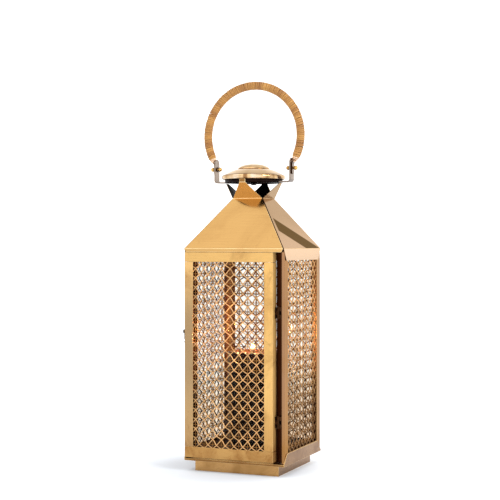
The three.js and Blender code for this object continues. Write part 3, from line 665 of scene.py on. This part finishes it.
def tube_faces(rings, sides, first=0):
    """The faces of a closed tube of that many rings, with its two end caps."""
    i, j = np.meshgrid(np.arange(rings - 1), np.arange(sides), indexing="ij")
    a, b = i * sides + j, i * sides + (j + 1) % sides
    quads = np.stack([a, b, b + sides, a + sides], axis=-1).reshape(-1, 4) + first
    start = tuple(first + k for k in reversed(range(sides)))
    end = tuple(first + (rings - 1) * sides + k for k in range(sides))
    return [*map(tuple, quads.tolist()), start, end]


def lathe(profile, axis_at, steps=96, axis="Z"):
    """Vertices and faces of a closed profile of (radius, height) turned round an axis."""
    rows = []
    for k in range(steps):
        angle = 2 * math.pi * k / steps
        for radius, height in profile:
            a, b = radius * math.cos(angle), radius * math.sin(angle)
            rows.append({"Z": (a, b, height), "X": (height, a, b)}[axis])
    vertices = np.array(rows) + np.array(axis_at)
    count = len(profile)
    faces = []
    for k in range(steps):
        for j in range(count):
            a, b = k * count + j, k * count + (j + 1) % count
            c, d = (k + 1) % steps * count + (j + 1) % count, (k + 1) % steps * count + j
            faces.append((a, d, c, b))
    return weld_points(vertices, faces)


def weld_points(vertices, faces):
    """Joins vertices that coincide, as on a lathe's axis, and drops faces with no area."""
    keys, index, kept = {}, [], []
    for vertex in vertices:
        key = tuple(round(float(c), 7) for c in vertex)
        if key not in keys:
            keys[key] = len(kept)
            kept.append(vertex)
        index.append(keys[key])
    out = []
    for face in faces:
        ring = []
        for i in (index[i] for i in face):
            if not ring or ring[-1] != i:
                ring.append(i)
        if len(ring) > 1 and ring[0] == ring[-1]:
            ring.pop()
        if len(ring) > 2:
            out.append(tuple(ring))
    return kept, out


def smoothed(points, steps=5):
    """A Catmull-Rom curve through the points of an open profile."""
    p = np.array([points[0], *points, points[-1]], float)
    out = []
    for i in range(1, len(p) - 2):
        for k in range(steps):
            t = k / steps
            out.append(0.5 * ((2 * p[i]) + (p[i + 1] - p[i - 1]) * t
                              + (2 * p[i - 1] - 5 * p[i] + 4 * p[i + 1] - p[i + 2]) * t * t
                              + (3 * p[i] - p[i - 1] - 3 * p[i + 1] + p[i + 2]) * t ** 3))
    out.append(p[-2])
    return [tuple(q) for q in out]


# -------------------- cane lattice

PITCH = 17.8 * MM  # from one hole of the weave to the next
# Half width, half thickness, depth below the outer face and step along it, in millimetres,
# and the number of sides.
STRANDS = {
    "over": (0.98, 0.66, 1.15, 2.1, 8),
    "under": (0.62, 0.46, 1.85, 3.0, 6),
}
# How far a strand swings in the panel's plane, and out of it.
WAVE_IN, WAVE_OUT = 0.95 * MM, 0.42 * MM
UNDER_WAVE_IN, UNDER_WAVE_OUT = 0.15 * MM, 0.1 * MM


def strand(path, outward, half_width, half_thick, sides):
    """A closed strand with a rounded flat section, lying in the panel's plane."""
    along = np.gradient(path, axis=0)
    along /= np.linalg.norm(along, axis=1)[:, None]
    side = np.cross(along, outward)
    angles = (np.arange(sides) + 0.5) / sides * 2 * math.pi
    c = np.sign(np.cos(angles)) * np.abs(np.cos(angles)) ** 0.8 * half_width
    s = np.sign(np.sin(angles)) * np.abs(np.sin(angles)) ** 0.8 * half_thick
    rings = path[:, None] + side[:, None] * c[None, :, None] + outward * s[None, :, None]
    return rings.reshape(-1, 3)


def clipped(point, way, low, high):
    """The part of a line inside a rectangle, as two distances from the point, or None."""
    near, far = -1e9, 1e9
    for k in range(2):
        if abs(way[k]) < 1e-9:
            if not low[k] < point[k] < high[k]:
                return None
            continue
        a, b = sorted(((low[k] - point[k]) / way[k], (high[k] - point[k]) / way[k]))
        near, far = max(near, a), min(far, b)
    return (near, far) if far - near > 2 * MM else None


def lattice(name, node, along, outward, shift=(0.0, 0.0), swell=1.3, over="cane_wall"):
    """The woven cane of one face: two wavy diagonals over thinner level and upright strands.

    shift moves a hole's centre off the panel's, in millimetres, and swell widens the strands.
    """
    lo, hi = (np.array(v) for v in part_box(node))
    along, outward = np.array(along, float), np.array(outward, float)
    up = np.array((0.0, 0.0, 1.0))
    centre = (lo + hi) / 2
    face = centre + outward * abs((hi - lo) @ outward) / 2
    half = np.array((abs((hi - lo) @ along), hi[2] - lo[2])) / 2 - 1 * MM
    origin = np.array(shift) * MM
    cell = PITCH / math.sqrt(2)
    vertices, faces = [], []

    def lay(point, way, kind, wave, phase, weave):
        point, way = np.array(point), np.array(way)
        ends = clipped(point, way, -half, half)
        if ends is None:
            return
        *sizes, sides = STRANDS[kind]
        width, thick, depth, step = (v * MM for v in sizes)
        width *= swell
        s = np.linspace(*ends, max(3, int((ends[1] - ends[0]) / step)))
        turn = np.cos(math.pi * s / cell + phase)
        across = np.array((-way[1], way[0]))
        flat = point + s[:, None] * way + (turn * wave)[:, None] * across
        sunk = outward * (depth - turn[:, None] * weave)
        path = face + flat[:, :1] * along + flat[:, 1:] * up - sunk
        ring = strand(path, outward, width, thick, sides)
        faces.extend(tube_faces(len(s), sides, sum(map(len, vertices))))
        vertices.append(ring)

    reach = int((half[0] + half[1]) / PITCH) + 2
    root = 1 / math.sqrt(2)
    for n in range(-reach, reach):
        # Each diagonal passes a hole's right corner, where an upright strand crosses it.
        corner = origin + np.array(((n + 0.5) * PITCH, 0.0))
        lay(corner, (root, -root), "over", WAVE_IN, 0.0, -WAVE_OUT)
        lay(corner, (root, root), "over", WAVE_IN * 0.2, 0.0, WAVE_OUT)
    over_faces = len(faces)
    for n in range(-reach, reach):
        flip = math.pi if n % 2 else 0.0
        off = (n + 0.5) * PITCH
        lay(origin + (off, 0.0), (0.0, 1.0), "under", UNDER_WAVE_IN, flip, UNDER_WAVE_OUT)
        lay(origin + (0.0, off), (1.0, 0.0), "under", UNDER_WAVE_IN, flip, -UNDER_WAVE_OUT)
    piece = new_piece(name, np.concatenate(vertices), faces, over, BODY_OF[node], "cane_brass",
                      [node])
    # The strands under the diagonals get the darker cane: painted shade.
    piece.data.materials.append(made["cane_under"])
    slots = [0] * over_faces + [1] * (len(faces) - over_faces)
    piece.data.polygons.foreach_set("material_index", slots)


def make_lattices():
    """The four walls. The front's shift follows the photo; the back's keeps the view through."""
    lattice("cane_front", "door_grille", (1, 0, 0), (0, -1, 0), (-6.3, 0.7), 0.95, "cane")
    lattice("cane_right", "grille_right", (0, 1, 0), (1, 0, 0), swell=1.5)
    lattice("cane_back", "grille_back", (-1, 0, 0), (0, 1, 0), (8.9, 8.9))
    lattice("cane_left", "grille_left", (0, -1, 0), (-1, 0, 0))


# -------------------- cap


SHEET = 1.2 * MM
# Shares of the rim's radius and of the height, from the rim to the middle.
DOME = ((0.985, 0.0), (1.0, 0.06), (1.0, 0.22), (0.975, 0.34), (0.90, 0.47), (0.78, 0.66),
        (0.66, 0.82), (0.53, 0.94), (0.40, 0.99), (0.15, 1.0))
CROWN = ((1.0, -0.07), (0.975, 0.06), (0.92, 0.24), (0.82, 0.46), (0.66, 0.70), (0.42, 0.90),
         (0.2, 0.98), (0.0, 1.0))


def shell(outer, thickness):
    """A closed profile from an outer one of (radius, height), from the rim to the middle."""
    inner = [(max(r - thickness, 0.0), z - (thickness if k else 0.0))
             for k, (r, z) in enumerate(outer)]
    return outer + inner[::-1]


def spun_piece(name, node, shape, thickness, steps):
    """A spun shell in place of a CAD node, scaled to its box."""
    lo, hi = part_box(node)
    outer = smoothed([(hi.x * r, lo.z + (hi.z - lo.z) * z) for r, z in shape])
    vertices, faces = lathe(shell(outer, thickness), (0, 0, 0), steps)
    new_piece(name, vertices, faces, "spun", "lantern_body", "brass", [node])


def make_cap():
    """The dome, the crown on it, and the drum under it, which stands in the bent strap; the drum
    is painted near black as the shade under the dome.
    """
    spun_piece("cap_dome_spun", "cap_dome", DOME, SHEET, 128)
    spun_piece("cap_crown_spun", "cap_crown", CROWN, 1.0 * MM, 96)
    lo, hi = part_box("cap_drum")
    r, inner, soft, hole = hi.x, hi.x - SHEET, 0.5 * MM, 2 * MM
    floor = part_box("handle_strap")[0].z + 2.8 * MM
    drum = [(hole, floor), (inner, floor), (inner, lo.z + soft), (r - soft, lo.z),
            (r, lo.z + soft), (r, hi.z - soft), (r - soft, hi.z), (inner, hi.z - soft),
            (inner, floor + SHEET), (hole, floor + SHEET)]
    # The drum is painted near black: the shade under the dome.
    new_piece("cap_drum_spun", *lathe(drum, (0, 0, 0), 96), "dark", "lantern_body",
              "inner_brass", ["cap_drum"])


# -------------------- handle

# How far below the ring's middle the rod and the wrap end, as angles.
ROD_DIP, WRAP_DIP = math.radians(30.8), math.radians(26.45)
TURN_PITCH = 3.7 * MM  # the mean width of a winding
BINDING = 6 * MM       # the length over which the wrap's ends taper
STRAP = 2.5 * MM       # the thickness of the handle strap
# One winding's section: along the ring in shares of its width, and out of it in millimetres.
RIBBON = ((-0.52, -0.5), (-0.44, 0.22), (-0.22, 0.42), (0.0, 0.48), (0.22, 0.42),
          (0.44, 0.22), (0.52, -0.5))
# Radius, and place along the ring from the wrap's end, in millimetres.
FERRULE = ((6.6, -1.5), (7.1, -0.3), (6.9, 0.9), (6.0, 2.6), (5.9, 3.2), (6.0, 3.8),
           (5.0, 5.6), (4.1, 7.4), (4.4, 8.0), (4.2, 8.9), (3.5, 9.1))
FORWARD = np.array((0.0, 1.0, 0.0))


def ring_size():
    """The ring's centre height, its centre-line radius and the radius of the wrap."""
    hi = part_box("rattan_wrap")[1]
    tube = hi.y / math.cos(math.pi / 12)
    return hi.z - hi.x, hi.x - hi.y, tube


def ring_frame(angle):
    """The ring's outward and forward directions at angles above the right-hand side."""
    out = np.stack([np.cos(angle), np.zeros_like(angle), np.sin(angle)], axis=-1)
    ahead = np.stack([-np.sin(angle), np.zeros_like(angle), np.cos(angle)], axis=-1)
    return out, ahead


def make_wrap():
    """One long split-cane ribbon wound round the ring, tapering to bound ends."""
    height, radius, tube = ring_size()
    length = radius * (math.pi + 2 * WRAP_DIP)
    turns, round_steps = int(length / TURN_PITCH), 22
    widths = chance.uniform(0.7, 1.35, turns)
    edges = np.concatenate([[0.0], np.cumsum(widths)]) / widths.sum() * length
    lift = chance.normal(0.0, 0.12 * MM, turns + 1)
    steps = np.arange(turns * round_steps + 1)
    turn = steps / round_steps
    middle = np.interp(turn, np.arange(turns + 1), edges)
    width = np.interp(turn, np.arange(turns) + 0.5, widths) * length / widths.sum()
    ends = np.minimum(middle, length - middle)
    core = (6.2 * MM) + (tube - 6.7 * MM) * np.clip(ends / BINDING, 0, 1) ** 0.5
    core += np.interp(turn, np.arange(turns + 1), lift)
    angle = middle / radius - WRAP_DIP
    spin = turn * 2 * math.pi
    out, ahead = ring_frame(angle)
    normal = out * np.cos(spin)[:, None] + FORWARD * np.sin(spin)[:, None]
    centre = out * radius + np.array((0.0, 0.0, height))
    section = np.array(RIBBON)
    rings = (centre[:, None] + normal[:, None] * (core[:, None, None] + section[None, :, 1:] * MM)
             + ahead[:, None] * section[None, :, :1] * width[:, None, None])
    count = len(section)
    new_piece("rattan_ribbon", rings.reshape(-1, 3), tube_faces(len(steps), count), "rattan",
              "handle", "rattan", ["rattan_wrap"], ("turn", np.repeat(turn, count)))

    for name, start, way in (("right", -WRAP_DIP, -1), ("left", math.pi + WRAP_DIP, 1)):
        make_ferrule("ferrule_" + name, start, way, height, radius)


def make_ferrule(name, start, way, height, radius):
    """A pinched metal collar that closes the end of the wrap on the rod."""
    r, along = np.array(smoothed(FERRULE, 3)).T * MM
    sides = 24
    out, _ = ring_frame(start + way * along / radius)
    a = np.arange(sides) / sides * 2 * math.pi
    centre = out * radius + np.array((0.0, 0.0, height))
    pinch = 1 - 0.05 * np.cos(6 * a)[None, :] * np.clip(along / (6 * MM), 0, 1)[:, None]
    size = r[:, None] * pinch
    rings = (centre[:, None] + out[:, None] * (np.cos(a) * size)[:, :, None]
             + FORWARD * (np.sin(a) * size)[:, :, None])
    faces = tube_faces(len(r), sides)
    if way > 0:
        faces = [tuple(reversed(face)) for face in faces]
    new_piece(name, rings.reshape(-1, 3), faces, "ferrule", "handle", "nickel")


def bent_plate(path, halves, thickness):
    """A flat bar bent along a path in the XZ plane, whose inner face is away from its normal."""
    path = np.array(path, float)
    along = np.gradient(path, axis=0)
    along /= np.linalg.norm(along, axis=1)[:, None]
    normal = np.stack([along[:, 1], -along[:, 0]], axis=-1)
    rings = []
    for point, n, half in zip(path, normal, halves):
        inner = point - n * thickness
        for x, z, sign in ((*point, -1), (*point, 1), (*inner, 1), (*inner, -1)):
            rings.append((x, sign * half, z))
    return np.array(rings), tube_faces(len(path), 4)


def round_half(distance, radius):
    """The half width of a round end that far from its tip."""
    return math.sqrt(max(radius ** 2 - max(radius - distance, 0.0) ** 2, 1e-10))


def make_strap():
    """The bent strap that holds the pivots, with painted shade where it lies in the drum."""
    lo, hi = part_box("handle_strap")
    reach, half, bend = hi.x, hi.y, 6 * MM
    tip = [half * (1 - math.cos(math.pi / 2 * k / 10)) for k in range(11)]
    right = [(reach, hi.z - d) for d in tip]
    corner = [(reach - bend + bend * math.cos(a), lo.z + bend - bend * math.sin(a))
              for a in (math.pi / 2 * k / 8 for k in range(9))]
    side = right + corner
    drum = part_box("cap_drum")[1].x
    path = [*side, (drum, lo.z), (0.0, lo.z), (-drum, lo.z), *((-x, z) for x, z in reversed(side))]
    widths = [max(round_half(d, half), 0.4 * MM) for d in tip] + [half] * len(corner)
    halves = [*widths, half, half, half, *reversed(widths)]
    vertices, faces = bent_plate(path, halves, -STRAP)
    piece = new_piece("strap_bent", vertices, faces, "nickel", "lantern_body", "nickel",
                      ["handle_strap"])
    piece.data.materials.append(made["dark"])
    # Painted shade where the strap lies in the drum.
    for face in piece.data.polygons:
        face.material_index = 1 if abs(face.center.x) < drum else 0
    soften(piece, 0.45 * MM)


def make_handle_bar():
    """The round rod inside the wrap, and the flat lugs that its ends are forged into."""
    height, radius, _ = ring_size()
    rod, sides, steps = 3.5 * MM, 20, 72
    out, _ = ring_frame(np.linspace(-ROD_DIP, math.pi + ROD_DIP, steps))
    a = np.arange(sides) / sides * 2 * math.pi
    centre = out * radius + np.array((0.0, 0.0, height))
    rings = (centre[:, None] + out[:, None] * np.cos(a)[None, :, None] * rod
             + FORWARD * np.sin(a)[None, :, None] * rod)
    vertices, faces = [rings.reshape(-1, 3)], tube_faces(steps, sides)
    rod_faces = len(faces)
    lo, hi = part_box("handle_core")
    pin_lo, pin_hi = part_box("pivot_pin_right")
    pivot = pin_lo.z + (pin_hi.z - pin_lo.z) / 2
    thick, half = 2.2 * MM, hi.y
    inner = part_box("handle_strap")[1].x + 0.3 * MM
    end = (radius * math.cos(ROD_DIP), height - radius * math.sin(ROD_DIP))
    tip = [half * (1 - math.cos(math.pi / 2 * k / 8)) for k in range(9)]
    low = [(inner + thick, lo.z + d) for d in tip]  # the round end, up to its full width
    neck = [(inner + thick, pivot + 6 * MM), (inner + thick + 0.6 * MM, pivot + 10 * MM),
            (end[0] + 1.6 * MM, end[1] + 1 * MM), (end[0] + 3.0 * MM, end[1] + 5 * MM)]
    halves = [max(round_half(d, half), 0.3 * MM) for d in tip]
    halves += [half, half * 0.93, 4.4 * MM, 3.2 * MM]
    plate, plate_faces = bent_plate(low + neck, halves, thick)
    for mirror in (1, -1):
        first = sum(map(len, vertices))
        turned_faces = [tuple(reversed(f)) for f in plate_faces] if mirror < 0 else plate_faces
        faces += [tuple(first + i for i in f) for f in turned_faces]
        vertices.append(plate * np.array((mirror, 1.0, 1.0)))
    piece = new_piece("handle_bar", np.concatenate(vertices), faces, "nickel", "handle", "nickel",
                      ["handle_core"])
    piece.data.materials.append(made["shaded"])
    for face in piece.data.polygons[rod_faces:]:
        face.material_index = 1 if abs(face.normal.y) > 0.7 else 0
    soften(piece, 0.25 * MM, 2)


def make_balls():
    """Ball heads outside the lugs, ball nuts inside the strap, and by each nut a dark disc on the
    strap: a painted shadow of the balls.
    """
    for side, sign in (("left", -1), ("right", 1)):
        for kind, node in (("pin", "pivot_pin_" + side), ("nut", "ball_nut_" + side)):
            lo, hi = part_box(node)
            ball = (hi.z - lo.z) / 2
            outer = hi.x if sign > 0 else -lo.x
            middle = (outer - ball) * sign
            profile = [(ball * math.sin(a), -sign * ball * math.cos(a))
                       for a in (math.pi * k / 20 for k in range(1, 20))]
            if kind == "pin":
                reach = (hi.x - lo.x - ball) * -sign
                start = [(0.0, reach), (1.8 * MM, reach), (2.25 * MM, reach + sign * 0.4 * MM),
                         (2.25 * MM, -sign * ball * 0.88)]
            else:
                start = [(0.0, -sign * ball * 0.97), (1.2 * MM, -sign * ball * 0.97)]
                profile = profile[2:]
            # The part of the ball inside its neck is left out.
            shown = [p for p in profile if abs(p[1]) < ball * 0.86 or p[1] * sign > 0]
            closed = [*start, *shown, (0.0, sign * ball)]
            at = (middle, (lo.y + hi.y) / 2, (lo.z + hi.z) / 2)
            vertices, faces = lathe(closed, at, 40, "X")
            if sign < 0:
                faces = [tuple(reversed(f)) for f in faces]
            new_piece(f"ball_{kind}_{side}", vertices, faces, "ball", BODY_OF[node], "brass",
                      [node])
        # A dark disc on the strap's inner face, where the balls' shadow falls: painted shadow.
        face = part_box("handle_strap")[1].x - STRAP
        shadow_disc = [(2 * MM, -1.1 * MM), (4.6 * MM, -1.1 * MM), (5.0 * MM, -0.8 * MM),
                  (5.0 * MM, 0.0), (2 * MM, 0.0)]
        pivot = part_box("ball_nut_" + side)
        at = (sign * face, 0.0, (pivot[0].z + pivot[1].z) / 2)
        turned = [(r, x * sign) for r, x in shadow_disc]
        vertices, faces = lathe(turned, at, 36, "X")
        if sign > 0:
            faces = [tuple(reversed(f)) for f in faces]
        new_piece("pivot_shadow_disc_" + side, vertices, faces, "shaded", "lantern_body", "steel")


# -------------------- candle


# Shares of the flame's greatest radius and of its height.
FLAME = ((0.0, 0.0), (0.45, 0.04), (0.82, 0.14), (1.0, 0.30), (0.93, 0.45), (0.68, 0.65),
         (0.36, 0.84), (0.12, 0.96), (0.0, 1.0))


def make_candle():
    """A pillar with a melted, slightly sunken top, a little out of round."""
    lo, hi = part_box("candle")
    r, top = hi.x, hi.z
    shape = [(0.0, lo.z), (r - 3 * MM, lo.z), (r - 0.6 * MM, lo.z + 1 * MM), (r, lo.z + 3 * MM)]
    shape += [(r, lo.z + (top - lo.z) * k / 24) for k in range(1, 23)]
    shape += [(r, top - 4 * MM), (r - 0.8 * MM, top - 1.4 * MM), (r - 2.6 * MM, top - 0.2 * MM),
              (r - 5 * MM, top - 0.6 * MM), (r - 9 * MM, top - 2.6 * MM),
              (r * 0.6, top - 4.6 * MM), (r * 0.3, top - 5.2 * MM), (2 * MM, top - 5.3 * MM),
              (0.0, top - 5.3 * MM)]
    vertices, faces = lathe(shape, (0, 0, 0), 96)
    soft = []
    for x, y, z in vertices:
        angle, share = math.atan2(y, x), (z - lo.z) / (top - lo.z)
        wide, narrow = math.sin(3 * angle + 4 * share), math.sin(7 * angle - 9 * share)
        swell = 1 + 0.004 * wide + 0.003 * narrow - 0.007
        sink = 0.6 * MM * math.sin(2 * angle + 1) * max(0.0, share - 0.97) / 0.03
        soft.append((x * swell, y * swell, z + min(sink, 0.0)))
    new_piece("candle_poured", soft, faces, "wax", "lantern_body", "wax", ["candle"])


def make_wick():
    """A burnt wick that leans over, twisted out of three strands."""
    lo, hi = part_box("wick")
    steps, sides = 14, 10
    share = np.linspace(0, 1, steps)
    path = np.stack([-1.6 * MM * share ** 2, 0.5 * MM * share ** 3,
                     lo.z + (hi.z - lo.z) * share], axis=-1)
    a = np.arange(sides) / sides * 2 * math.pi
    size = 0.9 * MM * (1 - 0.25 * share ** 4)
    twist = 1 + 0.10 * np.sin(3 * a[None, :] + 9 * share[:, None])
    rings = np.stack([path[:, 0, None] + np.cos(a) * size[:, None] * twist,
                      path[:, 1, None] + np.sin(a) * size[:, None] * twist,
                      np.repeat(path[:, 2, None], sides, 1)], axis=-1)
    made["wick"] = plain_char("wick_char")
    new_piece("wick_burnt", rings.reshape(-1, 3), tube_faces(steps, sides), "wick",
              "lantern_body", "wick", ["wick"])


def make_flame():
    """The flame over the wick's top part, and a small warm light just above it."""
    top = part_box("wick")[1].z
    base, tip = top - 9 * MM, top + 6 * MM
    shape = smoothed([(4.6 * MM * r, base + (tip - base) * z) for r, z in FLAME], 4)
    shape = [(max(r, 0.0), z) for r, z in shape]
    shape[0], shape[-1] = (0.0, base), (0.0, tip)
    made["flame"] = flame("flame_glow", base, tip)
    new_piece("flame", *lathe(shape, (-1.8 * MM, 0, 0), 32), "flame", "lantern_body", "wick")
    data = bpy.data.lights.new("flame_light", "POINT")
    data.energy, data.color, data.shadow_soft_size = 2.8, (1.0, 0.6, 0.24), 10 * MM
    add_object("flame_light", data).location = (0.0, 0.0, tip + 15 * MM)


def plain_char(name):
    """Burnt cotton: black, flecked with brown."""
    material, t, place = new_material(name)
    grit = t.noise(place, 1500.0, 4.0, 0.7)
    colour = t.mix(grit, linear(18, 14, 12), linear(58, 40, 30))
    surface = t.add("BsdfPrincipled", Base_Color=colour, Roughness=0.9)
    finished(t, surface, grit, 0.5, 0.0004)
    return material


# -------------------- CAD nodes that stay


SHEET_LOOKS = {
    "upright": ("front_post_left", "rear_post_left"),
    "side": ("rear_post_right",),
    "door_left": ("door_stile_left",),
    "return": ("door_stile_right",),
    "across": ("top_rail_back", "bottom_rail_back", "front_header", "front_sill",
               "roof_panel_back"),
    "door": ("door_rail_top", "door_rail_bottom"),
    "deep": ("top_rail_left", "bottom_rail_left", "roof_panel_left"),
    "side_rail": ("top_rail_right", "bottom_rail_right"),
}


def dress_frame():
    """Gives every CAD node that is shown its material and its rounded edges."""
    thin, thick = 0.35 * MM, 0.5 * MM
    for look, names in SHEET_LOOKS.items():
        for name in names:
            sheet_edges(name, thin, look)
    sheet_edges("front_post_right", thin, "groove", edge="groove")
    sheet_edges("roof_panel_front", thick, "roof_front", edge="pale_edge")
    sheet_edges("roof_panel_right", thin, "roof_right", edge="slit_edge")
    sheet_edges("plinth", thick, "plinth")
    sheet_edges("base_tray", thick, "base")
    for name in ("door_glass", "glass_left", "glass_back"):
        dress(name, "glass")
    dress("glass_right", "glass_right")
    for name in frame["nodes"]:
        if name.startswith(("hinge_", "glass_clip_")):
            sheet_edges(name, 0.2 * MM, "shaded", 2, "shaded")
        elif name in ("cap_bolt", "cap_nut"):
            # Painted shade: the bolt and the nut under the dome are near black.
            sheet_edges(name, 0.2 * MM, "dark", 2, "dark")
    for name in ("latch_hook", "latch_screw", "keeper_stud"):
        sheet_edges(name, 0.3 * MM, "latch", edge="latch")


make_camera()
make_world()
area_light("top", (0.2, 0.3, 3.0), (0, 0, 0.3), (2.4, 2.4), 6)
area_light("right", (2.4, -0.8, 1.9), (0, 0, 0.2), (1.2, 1.2), 36)
make_floor()
dress_frame()
make_lattices()
make_cap()
make_strap()
make_handle_bar()
make_wrap()
make_balls()
make_candle()
make_wick()
make_flame()
bpy.context.scene.view_settings.view_transform = "Standard"
